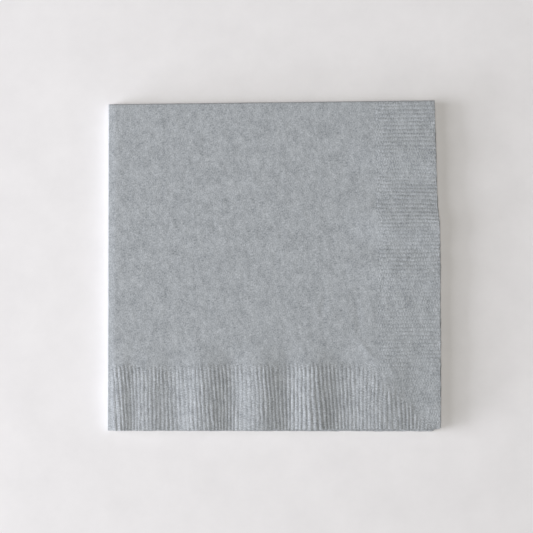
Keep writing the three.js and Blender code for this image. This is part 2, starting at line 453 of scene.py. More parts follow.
    def edge_shares(self, x: Array, y: Array) -> tuple[Array, Array]:
        """How near points are to the two cut edges.

        Args:
            x: Distances to the right of the far left corner.
            y: Distances up from it.

        Returns:
            Shares for the front edge and for the right edge, from 0 away from it to 1 beside it.
        """
        reach = self.uneven.ripple_reach
        run = reach - self.uneven.ripple_full_within
        return smooth((reach - self.depth - y) / run), smooth((reach - self.width + x) / run)

    def ripple_lift(self, x: Array, y: Array) -> Array:
        """How far the top layer is lifted by the ripples of its border.

        Args:
            x: Distances to the right of the far left corner.
            y: Distances up from it.

        Returns:
            The lift of each point.
        """
        towards_front, towards_right = self.edge_shares(x, y)
        rules = self.uneven
        front = rules.ripple_rise(rules.front_ripples, x) * towards_front
        return front + rules.ripple_rise(rules.right_ripples, -y) * towards_right

    def layer_waves(self, x: Array, y: Array, z: Array) -> Array:
        """How far the layers between the top and the bottom one undulate by themselves.

        Args:
            x: Distances to the right of the far left corner.
            y: Distances up from it.
            z: Heights in the true fold.

        Returns:
            The lift of each point.
        """
        towards_front, towards_right = self.edge_shares(x, y)
        total = np.zeros_like(z)
        for index, layer in enumerate(self.uneven.layers):
            only_this = [float(index == other) for other in range(len(self.uneven.layers))]
            turn = layer.wave_turn
            along_front = np.sin(2 * math.pi * x / self.uneven.wave_length + turn) * towards_front
            along_right = np.sin(2 * math.pi * y / self.uneven.wave_length + turn) * towards_right
            total += layer.wave * (along_front + along_right) * self.at_height(z, only_this)
        return total

    def place(self, s: Array, t: Array, face: Array) -> Array:
        """Where points of the cut sheet lie once it is folded, in millimetres."""
        return self.laid(self.true_fold(*self.sheet.rounded(s, t), face))


def spread(start: float, end: float, steps: int) -> list[float]:
    """Evenly spaced numbers from start to end, both included."""
    return [float(x) for x in np.linspace(start, end, steps + 1)]


@dataclass(frozen=True)
class Detail:
    """How finely a quarter of a face is divided."""

    steps_per_rib: int
    panel_steps: int
    border_rows: int


@dataclass
class SheetLattice:
    """The vertices and faces of the cut sheet: both its faces, its folds and its cut edges.

    The top layer's upper face is divided finely. The rest is divided as finely as its folds and ribs need.
    The margin is left between a panel and its border, where their lines are joined.
    """

    fold: QuarterFold
    shown: Detail = Detail(steps_per_rib=8, panel_steps=135, border_rows=30)
    hidden: Detail = Detail(steps_per_rib=4, panel_steps=14, border_rows=4)
    far_steps: int = 10
    left_steps: int = 14
    margin: float = 0.75
    places: list[tuple[float, float, int]] = field(default_factory=list)
    polygons: list[tuple[int, ...]] = field(default_factory=list)
    known: dict[tuple[int, int, int], int] = field(default_factory=dict)

    def vertex(self, s: float, t: float, face: Face) -> int:
        """Gives the vertex at a place of the sheet, made when it is first asked for.

        Args:
            s: Place across the left fold.
            t: Place across the far fold.
            face: Which face of the paper.

        Returns:
            The vertex's number.
        """
        key = (round(s / SAME_PLACE), round(t / SAME_PLACE), face.value)
        if key not in self.known:
            self.known[key] = len(self.places)
            self.places.append((s, t, face.value))
        return self.known[key]

    def turned(self, corners: tuple[int, ...], face: Face) -> tuple[int, ...]:
        """Makes a polygon look away from the paper.

        Args:
            corners: Its vertex numbers in order, one way round or the other.
            face: The face of the paper that it is part of.

        Returns:
            The corners in the right order.
        """
        s0, t0, _ = self.places[corners[0]]
        area = 0.0
        for first, second in zip(corners[1:], corners[2:]):
            sa, ta, _ = self.places[first]
            sb, tb, _ = self.places[second]
            area += (sa - s0) * (tb - t0) - (ta - t0) * (sb - s0)
        return corners if (area < 0) == (face is Face.OUTSIDE) else corners[::-1]

    def strip(self, row_a: Row, row_b: Row) -> Iterator[tuple[int, ...]]:
        """Fills the strip between two rows of vertices.

        Args:
            row_a: Pairs of a place along the strip and a vertex number.
            row_b: The same for the other side.

        Yields:
            Quads where the rows advance together, and triangles elsewhere.
        """
        a = 0
        b = 0
        while a < len(row_a) - 1 or b < len(row_b) - 1:
            middle_a = (row_a[a][0] + row_a[a + 1][0]) / 2 if a < len(row_a) - 1 else math.inf
            middle_b = (row_b[b][0] + row_b[b + 1][0]) / 2 if b < len(row_b) - 1 else math.inf
            if abs(middle_a - middle_b) < SAME_PLACE:
                yield row_a[a][1], row_a[a + 1][1], row_b[b + 1][1], row_b[b][1]
                a += 1
                b += 1
            elif middle_a < middle_b:
                yield row_a[a][1], row_a[a + 1][1], row_b[b][1]
                a += 1
            else:
                yield row_a[a][1], row_b[b + 1][1], row_b[b][1]
                b += 1

    def add_rows(self, rows: Sequence[Row], face: Face) -> None:
        """Adds the polygons of a face between each row and the next."""
        for row_a, row_b in zip(rows, rows[1:]):
            self.polygons += [self.turned(corners, face) for corners in self.strip(row_a, row_b)]

    def border_lines(self, arc: float, detail: Detail) -> list[float]:
        """The lines across the border, from a fold to the corner.

        Args:
            arc: How far the fold curves into the sheet, where the lines start.
            detail: How fine they are.

        Returns:
            Distances from the fold's middle.
        """
        sheet = self.fold.sheet
        step = sheet.rib_pitch / detail.steps_per_rib
        count = math.floor((sheet.half - arc - step / 2) / step)
        return [arc, *spread(sheet.half - count * step, sheet.half, count)]

    def border_rows(self, detail: Detail) -> list[float]:
        """The lines along the border, from its inner line to the cut edge."""
        return spread(self.fold.sheet.border_start, self.fold.sheet.half, detail.border_rows)

    def panel_lines(self, arc: float, detail: Detail) -> list[float]:
        """The lines of the panel inside the border, from the first line past the fold."""
        first = self.border_lines(arc, detail)[1]
        return spread(first, self.fold.sheet.border_start - self.margin, detail.panel_steps)

    def fold_lines(self, arc: float, detail: Detail) -> list[float]:
        """The lines that cross a fold, from the other fold to the cut edge."""
        return [arc, *self.panel_lines(arc, detail), *self.border_rows(detail)]

    def arc_of(self, edge: Edge) -> float:
        """How far the fold at the start of a cut edge curves into the sheet."""
        return self.fold.left_arc if edge is Edge.FRONT else self.fold.far_arc

    def add_quarter(self, sign_s: int, sign_t: int, face: Face) -> None:
        """Adds one quarter of one face: a panel, its surround and the two borders, which meet in a mitre.

        Args:
            sign_s: 1 in the upper half of the stack, -1 in the lower half.
            sign_t: 1 in the outer layer of the doubled sheet, -1 in its inner layer.
            face: Which face of the paper.
        """
        outside = face is Face.OUTSIDE
        detail = self.shown if outside and sign_s > 0 and sign_t > 0 else self.hidden
        beside_left = self.shown if outside and sign_t > 0 else self.hidden
        beside_far = self.shown if outside and sign_s > 0 else self.hidden
        start = self.fold.sheet.border_start
        panel = {edge: self.panel_lines(self.arc_of(edge), detail) for edge in Edge}
        beside = {Edge.FRONT: beside_left, Edge.RIGHT: beside_far}

        def point(edge: Edge, run: float, out: float) -> tuple[float, int]:
            """Pairs a distance along an edge with the vertex there, at a distance out towards the edge."""
            s, t = (run, out) if edge is Edge.FRONT else (out, run)
            return run, self.vertex(s * sign_s, t * sign_t, face)

        def turned_point(edge: Edge, run: float, out: float) -> tuple[float, int]:
            """Pairs the distance out with the same vertex."""
            return out, point(edge, run, out)[1]

        rows = [[point(Edge.FRONT, run, out) for run in panel[Edge.FRONT]] for out in panel[Edge.RIGHT]]
        self.add_rows(rows, face)
        for edge, other in ((Edge.FRONT, Edge.RIGHT), (Edge.RIGHT, Edge.FRONT)):
            lines = self.border_lines(self.arc_of(edge), detail)
            arc = self.arc_of(edge)
            inner = [run for run in lines if run < start + SAME_PLACE]
            # Between the panel and the border's inner line
            panel_edge = [point(edge, run, panel[other][-1]) for run in panel[edge]]
            self.add_rows([panel_edge, [point(edge, run, start) for run in inner[1:]]], face)
            # Between the fold that this edge starts at and the panel
            fold_lines = self.fold_lines(self.arc_of(other), beside[edge])
            at_fold = [run for run in fold_lines if run < start + SAME_PLACE]
            first_line = [*panel[other], start]
            fold_side = [turned_point(edge, arc, run) for run in at_fold]
            panel_side = [turned_point(edge, lines[1], run) for run in first_line]
            self.add_rows([fold_side, panel_side], face)
            # The border itself, line by line from the fold to the corner
            columns = []
            for index, run in enumerate(lines):
                rows_here = self.border_rows(beside[edge] if index == 0 else detail)
                first = max(run, start)
                outs = [first, *[out for out in rows_here if out > first + SAME_PLACE]]
                columns.append([turned_point(edge, run, out) for out in outs])
            self.add_rows(columns, face)

    def add_folds(self, face: Face) -> None:
        """Adds the curved strips: the left fold over its whole length, and the two halves of the far fold.

        Args:
            face: Which face of the paper.
        """
        outside = face is Face.OUTSIDE
        far_arc, left_arc = self.fold.far_arc, self.fold.left_arc
        outer = self.fold_lines(far_arc, self.shown if outside else self.hidden)
        inner = self.fold_lines(far_arc, self.hidden)
        round_far = spread(-far_arc, far_arc, self.far_steps)
        across_far = [*[-t for t in reversed(inner)], *round_far[1:-1], *outer]
        rows = []
        for s in spread(-left_arc, left_arc, self.left_steps):
            rows.append([(t, self.vertex(s, t, face)) for t in across_far])
        self.add_rows(rows, face)
        for sign in (-1, 1):
            lines = self.fold_lines(left_arc, self.shown if outside and sign > 0 else self.hidden)
            rows = [[(t, self.vertex(sign * s, t, face)) for t in round_far] for s in lines]
            self.add_rows(rows, face)

    def add_cut_edge(self, edge: Edge, sign: int) -> None:
        """Adds the cut edge on one side of the sheet, between its two faces.

        Args:
            edge: Which way the side runs.
            sign: 1 or -1, for the side where the other coordinate is positive or negative.
        """
        arc = self.arc_of(edge)
        steps = self.left_steps if edge is Edge.FRONT else self.far_steps

        def row(face: Face) -> Row:
            """The vertices of one face along this side of the sheet.

            Args:
                face: Which face of the paper.

            Returns:
                Pairs of a place along the side and a vertex number.
            """
            detail = self.shown if face is Face.OUTSIDE and sign > 0 else self.hidden
            before = [-run for run in reversed(self.border_lines(arc, self.hidden))]
            runs = [*before, *spread(-arc, arc, steps)[1:-1], *self.border_lines(arc, detail)]
            side = sign * self.fold.sheet.half
            places = [(run, side) if edge is Edge.FRONT else (side, run) for run in runs]
            return [(run, self.vertex(s, t, face)) for run, (s, t) in zip(runs, places)]

        backward = (edge is Edge.FRONT) == (sign > 0)
        for corners in self.strip(row(Face.OUTSIDE), row(Face.INSIDE)):
            self.polygons.append(corners[::-1] if backward else corners)

    def build(self) -> None:
        """Adds all of the sheet."""
        for face in Face:
            for sign_s in (-1, 1):
                for sign_t in (-1, 1):
                    self.add_quarter(sign_s, sign_t, face)
            self.add_folds(face)
        for edge in Edge:
            for sign in (-1, 1):
                self.add_cut_edge(edge, sign)


@dataclass(frozen=True)
class BorderRibs:
    """How the pressed ribs run: how strong they are and how much they slant, at places along a border.

    Places are distances from the fold that the border starts at. A slant is how far a rib moves along the
    border for each millimetre that it runs towards the cut edge.
    """

    strength_at: tuple[float, ...]
    strength: tuple[float, ...]
    slant_at: tuple[float, ...]
    slant: tuple[float, ...]


@dataclass(frozen=True)
class RibPress:
    """The press that raises the border's ribs and leaves the paper's soft relief, as a geometry node tree.

    Along the sheet, lengths are in millimetres, as stored in the mesh.
    """

    rib_pitch: float = RIB_PITCH
    rib_height: float = 0.145
    rib_roundness: float = 0.55
    height_variation: float = 0.9
    variation_size: float = 3.6
    wander: float = 0.7
    wander_size: float = 9.0
    head_share: float = 0.7
    head_length: float = 1.6
    run_in: float = 0.5
    run_in_jitter: float = 1.2
    mitre_fade: float = 6.0
    step_depth: float = 0.05
    step_width: float = 0.85
    relief_height: float = 0.08
    relief_size: float = 3.6
    relief_slimness: float = 2.0
    seed: float = 4.0

    # What the mesh has stored for the tree
    STORED = {
        "rib_frame": "FLOAT_VECTOR",
        "rib_weight": "FLOAT",
        "mitre_place": "FLOAT",
        "sheet_place": "FLOAT_VECTOR",
        "paper_out": "FLOAT_VECTOR",
        "relief_weight": "FLOAT",
    }
    # The sizes that are heights, so that they move the mesh
    HEIGHTS = ("rib_height", "step_depth", "relief_height")
    # Noise lies between about 0.17 and 0.83, and this brings it to between about -1 and 1
    NOISE_MIDDLE = 0.5
    NOISE_GAIN = 3.0
    NOISE_ROUGHNESS = 0.6
    # The noise is drawn out along the ribs, and their height looks it up away from where their wander does
    DRAWN_OUT = (1.0, 0.55, 1.0)
    AWAY = (0.0, 0.0, 17.0)
    # How much of the jitter shows where the ribs start, and where they end at the mitre
    JITTER_AT_START = 0.5
    JITTER_AT_MITRE = 1.2
    # The least that their variation leaves of the ribs
    LEAST_VARIATION = 0.1

    def settings(self) -> dict[str, float]:
        """The value of each named input.

        Returns:
            Values by the input's name. Heights are in metres, as the mesh is.
        """
        values = {name: getattr(self, name) for name in self.__dataclass_fields__}
        for name in self.HEIGHTS:
            values[name] *= MM
        return {name.replace("_", " ").title(): value for name, value in values.items()}

    def tree(self) -> bpy.types.NodeTree:
        """Builds the node tree, with a named input for each of its sizes.

        Returns:
            The tree, which ends in Realize Instances and Set Material.
        """
        tree = bpy.data.node_groups.new("press_ribs", "GeometryNodeTree")
        face = tree.interface
        face.new_socket("Geometry", in_out="INPUT", socket_type="NodeSocketGeometry")
        for name in self.settings():
            face.new_socket(name, in_out="INPUT", socket_type="NodeSocketFloat")
        face.new_socket("Paper", in_out="INPUT", socket_type="NodeSocketMaterial")
        face.new_socket("Geometry", in_out="OUTPUT", socket_type="NodeSocketGeometry")
        given = tree.nodes.new("NodeGroupInput").outputs

        stored = {}
        for name, kind in self.STORED.items():
            stored[name] = add_node(tree, "GeometryNodeInputNamedAttribute", {"data_type": kind}, Name=name)
        # The ribs' own frame: across them, out from the border's inner line, and a number for each border
        parts = add_node(tree, "ShaderNodeSeparateXYZ", Vector=stored["rib_frame"]).outputs

        # Everything uneven is noise of its own size. The relief is slimmer across the sheet than along it.
        along_ribs = add_node(tree, VECTOR_MATH, "MULTIPLY", _0=stored["rib_frame"], _1=self.DRAWN_OUT)
        elsewhere = add_node(tree, VECTOR_MATH, "ADD", _0=along_ribs, _1=self.AWAY)
        grain = add_node(tree, "ShaderNodeCombineXYZ", X=given["Relief Slimness"], Y=1.0, Z=1.0)
        slim = add_node(tree, VECTOR_MATH, "MULTIPLY", _0=stored["sheet_place"], _1=grain)
        noises = {}
        for name, place, size, detail, amount in (
            ("wander", along_ribs, "Wander Size", 2.0, "Wander"),
            ("variation", elsewhere, "Variation Size", 2.0, "Height Variation"),
            ("jitter", stored["rib_frame"], "Rib Pitch", 0.0, "Run In Jitter"),
            ("relief", slim, "Relief Size", 2.0, "Relief Height"),
        ):
            raw = add_node(
                tree,
                "ShaderNodeTexNoise",
                {"noise_dimensions": "4D"},
                Vector=place,
                W=given["Seed"],
                Scale=add_node(tree, MATH, "DIVIDE", _0=1.0, _1=given[size]),
                Detail=detail,
                Roughness=self.NOISE_ROUGHNESS,
            )
            centred = add_node(tree, MATH, "SUBTRACT", _0=raw, _1=self.NOISE_MIDDLE)
            full_range = add_node(tree, MATH, "MULTIPLY", _0=centred, _1=self.NOISE_GAIN)
            noises[name] = add_node(tree, MATH, "MULTIPLY", _0=full_range, _1=given[amount])

        # The wave across the ribs, with rounded tops
        wandered = add_node(tree, MATH, "ADD", _0=parts["X"], _1=noises["wander"])
        turns = add_node(tree, MATH, "DIVIDE", _0=wandered, _1=given["Rib Pitch"])
        angle = add_node(tree, MATH, "MULTIPLY", _0=turns, _1=2 * math.pi)
        wave = add_node(tree, MATH, "COSINE", _0=angle)
        upturned = add_node(tree, MATH, "SUBTRACT", _0=1.0, _1=wave)
        ridge = add_node(tree, MATH, "MULTIPLY", _0=upturned, _1=0.5)
        rounded = add_node(tree, MATH, "POWER", _0=ridge, _1=given["Rib Roundness"])

        # Where the ribs' heads, the full ribs, their ends at the mitre and the pressed border start
        start_jitter = add_node(tree, MATH, "MULTIPLY", _0=noises["jitter"], _1=self.JITTER_AT_START)
        strayed = add_node(tree, MATH, "ADD", _0=parts["Y"], _1=start_jitter)
        mitre_jitter = add_node(tree, MATH, "MULTIPLY", _0=noises["jitter"], _1=self.JITTER_AT_MITRE)
        into_mitre = add_node(tree, MATH, "ADD", _0=stored["mitre_place"], _1=mitre_jitter)
        before_border = add_node(tree, MATH, "MULTIPLY", _0=given["Step Width"], _1=-1.0)
        rises = {}
        for name, value, start, length in (
            ("heads", strayed, 0.0, "Run In"),
            ("ribs", strayed, given["Head Length"], "Run In"),
            ("mitre", into_mitre, 0.0, "Mitre Fade"),
            ("border", parts["Y"], before_border, "Step Width"),
        ):
            rises[name] = add_node(
                tree,
                "ShaderNodeMapRange",
                {"interpolation_type": "SMOOTHSTEP"},
                Value=value,
                From_Min=start,
                From_Max=add_node(tree, MATH, "ADD", _0=start, _1=given[length]),
            )

        # How strongly the ribs stand out
        heads = add_node(tree, MATH, "MULTIPLY", _0=rises["heads"], _1=given["Head Share"])
        run_in = add_node(tree, MATH, "MAXIMUM", _0=heads, _1=rises["ribs"])
        variation = add_node(tree, MATH, "ADD", _0=1.0, _1=noises["variation"])
        varied = add_node(tree, MATH, "MAXIMUM", _0=variation, _1=self.LEAST_VARIATION)
        weight = add_node(tree, MATH, "MULTIPLY", _0=stored["rib_weight"], _1=varied)
        parted = add_node(tree, MATH, "MULTIPLY", _0=weight, _1=rises["mitre"])
        shaped = add_node(tree, MATH, "MULTIPLY", _0=rounded, _1=parted)
        lift = add_node(tree, MATH, "MULTIPLY", _0=shaped, _1=given["Rib Height"])
        ribs = add_node(tree, MATH, "MULTIPLY", _0=lift, _1=run_in)

        # The press flattens the whole border, so there is a small step down to it at its inner line
        flattened = add_node(tree, MATH, "MULTIPLY", _0=rises["border"], _1=given["Step Depth"])
        sunk = add_node(tree, MATH, "MULTIPLY", _0=flattened, _1=stored["relief_weight"])
        risen = add_node(tree, MATH, "SUBTRACT", _0=ribs, _1=sunk)
        upward = add_node(tree, "ShaderNodeCombineXYZ", Z=risen)

        # The relief of the paper itself, which leaves the face on the table flat
        relief = add_node(tree, MATH, "MULTIPLY", _0=noises["relief"], _1=stored["relief_weight"])
        outward = add_node(tree, VECTOR_MATH, "SCALE", _0=stored["paper_out"], Scale=relief)

        offset = add_node(tree, VECTOR_MATH, "ADD", _0=upward, _1=outward)
        moved = add_node(tree, "GeometryNodeSetPosition", Geometry=given["Geometry"], Offset=offset)
        real = add_node(tree, "GeometryNodeRealizeInstances", Geometry=moved)
        dressed = add_node(tree, "GeometryNodeSetMaterial", Geometry=real, Material=given["Paper"])
        add_node(tree, "NodeGroupOutput", Geometry=dressed)
        return tree

    def press(self, piece: bpy.types.Object, paper: bpy.types.Material) -> None:
        """Runs the tree on a piece and makes its result the piece's own plain mesh.

        Args:
            piece: The folded sheet, with the measures that the tree reads stored in its mesh.
            paper: The finish that the tree gives it.
        """
        modifier = piece.modifiers.new("press_ribs", "NODES")
        modifier.node_group = self.tree()
        values: dict[str, object] = {**self.settings(), "Paper": paper}
        for item in modifier.node_group.interface.items_tree:
            if item.in_out == "INPUT" and item.name in values:
                modifier[item.identifier] = values[item.name]
        graph = bpy.context.evaluated_depsgraph_get()
        pressed = bpy.data.meshes.new_from_object(piece.evaluated_get(graph), depsgraph=graph)
        piece.modifiers.remove(modifier)
        piece.data = pressed


@dataclass(frozen=True)
class MottledFinish:
    """A matt finish that is mottled between two colours.

    Its pattern is darkest at tint_from and palest at tint_to.
    """

    name: str
    dark: str
    pale: str
    tint_from: float
    tint_to: float
    roughness: float

    def bare_material(self) -> bpy.types.Material:
        """Makes a material of the finish's name, without nodes."""
        material = bpy.data.materials.new(self.name)
        material.use_nodes = True
        material.node_tree.nodes.clear()
        return material

    def colour(self, tree: bpy.types.NodeTree, pattern: bpy.types.Node) -> bpy.types.NodeSocket:
        """Adds the nodes that turn a pattern into the finish's colour.

        Args:
            tree: The material's node tree.
            pattern: The node that gives the pattern.

        Returns:
            The colour's socket.
        """
        tint = add_node(
            tree, "ShaderNodeMapRange", Value=pattern, From_Min=self.tint_from, From_Max=self.tint_to
        )
        mixed = add_node(
            tree,
            "ShaderNodeMix",
            {"data_type": "RGBA"},
            _0=tint,
            _6=linear_colour(self.dark),
            _7=linear_colour(self.pale),
        )
        return mixed.outputs[2]


@dataclass(frozen=True)
class TissuePaper(MottledFinish):
    """Three-ply tissue, dyed grey: wet-laid soft fibres, creped and pressed, so it is matt and speckled.

    Lengths are in millimetres. Single fibres are too fine to show, so grains are drawn as clumps of them.
    Flecks are loose fibres of one ply, and clouds are where the plies lie thicker. All are slimmer across the
    lean, which is in degrees. The beads are those that the press leaves along each rib.
    """

    name: str = "grey_tissue_paper"
    dark: str = "80858a"
    pale: str = "bec3c8"
    grain_size: float = 0.6
    fleck_size: float = 2.1
    cloud_size: float = 6.5
    slimness: float = 1.7
    lean: float = -14.0
    grain_share: float = 0.53
    fleck_share: float = 0.24
    bead_pitch: float = 0.97
    bead_share: float = 0.25
    # How much the beads darken their pits and lighten their tops in the colour: partly denser fibres, partly
    # painted shade and highlight
    bead_density_and_painted_shade: float = 0.035
    bead_stray: float = 1.2
    tint_from: float = 0.33
    tint_to: float = 0.67
    noise_roughness: float = 0.6
    roughness: float = 0.93
    ior: float = 1.45
    sheen: float = 0.1
    bump_depth: float = 0.08

    def material(self, sheet: CutSheet) -> bpy.types.Material:
        """Builds the finish for a sheet whose map runs from 0 to 1 over its side.

        Args:
            sheet: The sheet, whose sizes give the pattern's scale and the border's place.

        Returns:
            The material.
        """
        paper = self.bare_material()
        tree = paper.node_tree
        uv = add_node(tree, "ShaderNodeUVMap", {"uv_map": SHEET_MAP})
        turned = add_node(
            tree,
            "ShaderNodeMapping",
            {"vector_type": "TEXTURE"},
            Vector=uv,
            Rotation=(0.0, 0.0, math.radians(self.lean)),
            Scale=(1 / (sheet.side * self.slimness), 1 / sheet.side, 1.0),
        )
        noises = {}
        for name, size, detail in (
            ("clouds", self.cloud_size, 2.0),
            ("flecks", self.fleck_size, 1.0),
            ("grains", self.grain_size, 1.0),
            ("stray", self.fleck_size, 0.0),
        ):
            noises[name] = add_node(
                tree,
                "ShaderNodeTexNoise",
                Vector=turned,
                Scale=1 / size,
                Detail=detail,
                Roughness=self.noise_roughness,
            )
        cloud_share = 1 - self.grain_share - self.fleck_share
        clouds = add_node(tree, MATH, "MULTIPLY", _0=noises["clouds"], _1=cloud_share)
        flecks = add_node(tree, MATH, "MULTIPLY_ADD", _0=noises["flecks"], _1=self.fleck_share, _2=clouds)
        fibres = add_node(tree, MATH, "MULTIPLY_ADD", _0=noises["grains"], _1=self.grain_share, _2=flecks)

        # The ribs are pressed as rows of fine beads, each row half a bead on from its neighbour
        from_middle = add_node(
            tree,
            "ShaderNodeMapping",
            Vector=uv,
            Location=(-sheet.half, -sheet.half, 0.0),
            Scale=(sheet.side, sheet.side, 1.0),
        )
        parts = add_node(tree, "ShaderNodeSeparateXYZ", Vector=from_middle).outputs
        across = add_node(tree, MATH, "ABSOLUTE", _0=parts["X"])
        along = add_node(tree, MATH, "ABSOLUTE", _0=parts["Y"])
        out = add_node(tree, MATH, "MAXIMUM", _0=across, _1=along)
        sideways = add_node(tree, MATH, "MINIMUM", _0=across, _1=along)
        from_cut = add_node(tree, MATH, "SUBTRACT", _0=sheet.half, _1=sideways)
        pitches = add_node(tree, MATH, "DIVIDE", _0=from_cut, _1=sheet.rib_pitch)
        row = add_node(tree, MATH, "FLOOR", _0=pitches)
        turns_out = add_node(tree, MATH, "DIVIDE", _0=out, _1=self.bead_pitch)
        turns = add_node(tree, MATH, "MULTIPLY_ADD", _0=row, _1=0.5, _2=turns_out)
        strayed = add_node(tree, MATH, "MULTIPLY_ADD", _0=noises["stray"], _1=self.bead_stray, _2=turns)
        angle = add_node(tree, MATH, "MULTIPLY", _0=strayed, _1=2 * math.pi)
        beads = add_node(tree, MATH, "SINE", _0=angle)
        narrower = sheet.side_border_start - sheet.border_start
        at_side = add_node(tree, MATH, "GREATER_THAN", _0=across, _1=along)
        start = add_node(tree, MATH, "MULTIPLY_ADD", _0=at_side, _1=narrower, _2=sheet.border_start)
        in_border = add_node(tree, MATH, "GREATER_THAN", _0=out, _1=start)
        beads_here = add_node(tree, MATH, "MULTIPLY", _0=beads, _1=in_border)
        height = add_node(tree, MATH, "MULTIPLY_ADD", _0=beads_here, _1=self.bead_share, _2=fibres)
        bump = add_node(
            tree, "ShaderNodeBump", Strength=1.0, Distance=self.bump_depth * MM, Height=height
        )

        # Painted shade and highlight: the bead pattern darkens the pits between the beads and lightens the
        # beads in the colour, partly for the denser pressed fibres there and partly as painted shade
        tone_and_painted_bead_shade = add_node(tree, MATH, "MULTIPLY_ADD", _0=beads_here, _1=self.bead_density_and_painted_shade, _2=fibres)
        surface = add_node(
            tree,
            "ShaderNodeBsdfPrincipled",
            Base_Color=self.colour(tree, tone_and_painted_bead_shade),
            Roughness=self.roughness,
            IOR=self.ior,
            Sheen_Weight=self.sheen,
            Normal=bump,
        )
        add_node(tree, "ShaderNodeOutputMaterial", Surface=surface)
        return paper


@dataclass
class Napkin:
    """The folded napkin: it builds the sheet, presses its border and dresses it.

    At the two fades the ribs die away beside a fold. head_lean is how far the ribs' heads lean over at the
    border's inner line, and borders_apart keeps the noise of one border unlike that of the next.
    """

    fold: QuarterFold = field(default_factory=QuarterFold)
    press: RibPress = field(default_factory=RibPress)
    paper: TissuePaper = field(default_factory=TissuePaper)
    front_ribs: BorderRibs = BorderRibs(
        strength_at=(0, 5, 10, 15, 23, 31, 41, 47, 54, 58, 64, 70, 76, 83, 90, 97, 104, 112),
        strength=(
            *(0.6, 1.3, 1.0, 0.65, 0.9, 0.55, 1.15, 1.15, 0.55),
            *(0.6, 1.15, 0.95, 1.15, 1.75, 1.0, 0.7, 0.65, 0.9),
        ),
        slant_at=(2, 7, 14, 22, 42, 50, 64, 76, 84, 94, 105, 112, 127),
        slant=(0.02, 0.09, 0.03, 0.02, 0.07, 0.0, 0.03, 0.0, 0.1, 0.03, 0.0, 0.06, 0.0),
    )
    right_ribs: BorderRibs = BorderRibs(
        strength_at=(0, 12, 24, 34, 44, 51, 61, 71, 80, 96, 106, 127),
        strength=(1.15, 1.3, 0.55, 1.35, 1.5, 0.9, 1.35, 0.6, 0.55, 0.85, 0.6, 0.5),
        slant_at=(0, 40, 60, 127),
        slant=(0.0, 0.03, -0.02, 0.0),
    )
    head_lean: float = 0.8
    left_fade: float = 2.5
    far_fade: float = 1.0
    borders_apart: float = 20.0
    sharp_angle: float = 55.0

    def rib_measures(self, s: Array, t: Array) -> dict[str, Array]:
        """How the ribs run over the sheet.

        Args:
            s: Places across the left fold.
            t: Places across the far fold.

        Returns:
            What the press reads: the frame that the ribs run in, how strongly they stand out, from 0 to about
            1, and how far each point is from the mitre.
        """
        half = self.fold.sheet.half
        across = np.minimum(np.abs(s), np.abs(t))
        out = np.maximum(np.abs(s), np.abs(t))
        on_front = np.abs(t) >= np.abs(s)
        arc = np.where(on_front, self.fold.left_arc, self.fold.far_arc)
        fade = smooth((across - arc) / np.where(on_front, self.left_fade, self.far_fade))

        def by_border(places: str, values: str) -> Array:
            """Reads the table of the border that each point is in.

            Args:
                places: The name of the table's places.
                values: The name of its values.

            Returns:
                The value at each point.
            """
            front, right = self.front_ribs, self.right_ribs
            in_front = np.interp(across, getattr(front, places), getattr(front, values))
            at_right = np.interp(across, getattr(right, places), getattr(right, values))
            return np.where(on_front, in_front, at_right)

        inward = out - np.where(on_front, self.fold.sheet.border_start, self.fold.sheet.side_border_start)
        head = np.clip(1 - inward / self.press.head_length, 0, 1)
        slanted = half - across + by_border("slant_at", "slant") * inward - self.head_lean * head**2
        border_number = self.borders_apart * (on_front + 2 * (s > 0) + 4 * (t > 0))
        strength = by_border("strength_at", "strength")
        return {
            "rib_frame": np.stack([slanted, inward, border_number], axis=1),
            "rib_weight": strength * fade,
            "mitre_place": out - across,
        }

    def build(self) -> bpy.types.Object:
        """Builds the folded sheet at the place of the solid that it stands for.

        Returns:
            The finished piece, pressed and with its paper on.
        """
        lattice = SheetLattice(self.fold)
        lattice.build()
        s, t, face = np.array(lattice.places).T
        points = self.fold.place(s, t, face)
        outside = self.fold.place(s, t, np.ones_like(face))
        inside = self.fold.place(s, t, -np.ones_like(face))
        low, high = (np.array(corner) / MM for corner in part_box(NODE_NAME))
        points[:, :2] += (low + high)[:2] / 2 - (points.min(0) + points.max(0))[:2] / 2

        mesh = bpy.data.meshes.new("napkin_sheet")
        mesh.from_pydata((points * MM).tolist(), [], lattice.polygons)
        measures = {
            **self.rib_measures(s, t),
            "sheet_place": np.stack([s, t, np.zeros_like(s)], axis=1),
            "paper_out": (outside - inside) / self.fold.sheet.thickness,
            "relief_weight": smooth(points[:, 2] / self.fold.sheet.thickness),
        }
        for name, values in measures.items():
            is_vector = values.ndim == 2
            attribute = mesh.attributes.new(name, "FLOAT_VECTOR" if is_vector else "FLOAT", "POINT")
            attribute.data.foreach_set("vector" if is_vector else "value", values.ravel())
        corners = np.zeros(len(mesh.loops), dtype=np.int32)
        mesh.loops.foreach_get("vertex_index", corners)
        uv = np.stack([s, t], axis=1)[corners] / self.fold.sheet.side + 0.5
        mesh.uv_layers.new(name=SHEET_MAP).uv.foreach_set("vector", uv.ravel())
        piece = bpy.data.objects.new("napkin_sheet", mesh)
        bpy.context.scene.collection.objects.link(piece)

        self.press.press(piece, self.paper.material(self.fold.sheet))
        for name in measures:
            piece.data.attributes.remove(piece.data.attributes[name])
        return piece

    def smooth_shading(self, piece: bpy.types.Object) -> None:
        """Shades the paper smoothly, but keeps its cut edges crisp.

        Args:
            piece: The folded sheet.
        """
        mesh = piece.data
        mesh.polygons.foreach_set("use_smooth", np.ones(len(mesh.polygons), dtype=bool))
        mesh.set_sharp_from_angle(angle=math.radians(self.sharp_angle))

    def join_frame(self, piece: bpy.types.Object) -> None:
        """Tells the frame what the piece is and what it stands for.

        Args:
            piece: The folded sheet.
        """
        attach(piece, "root")
        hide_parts(NODE_NAME)


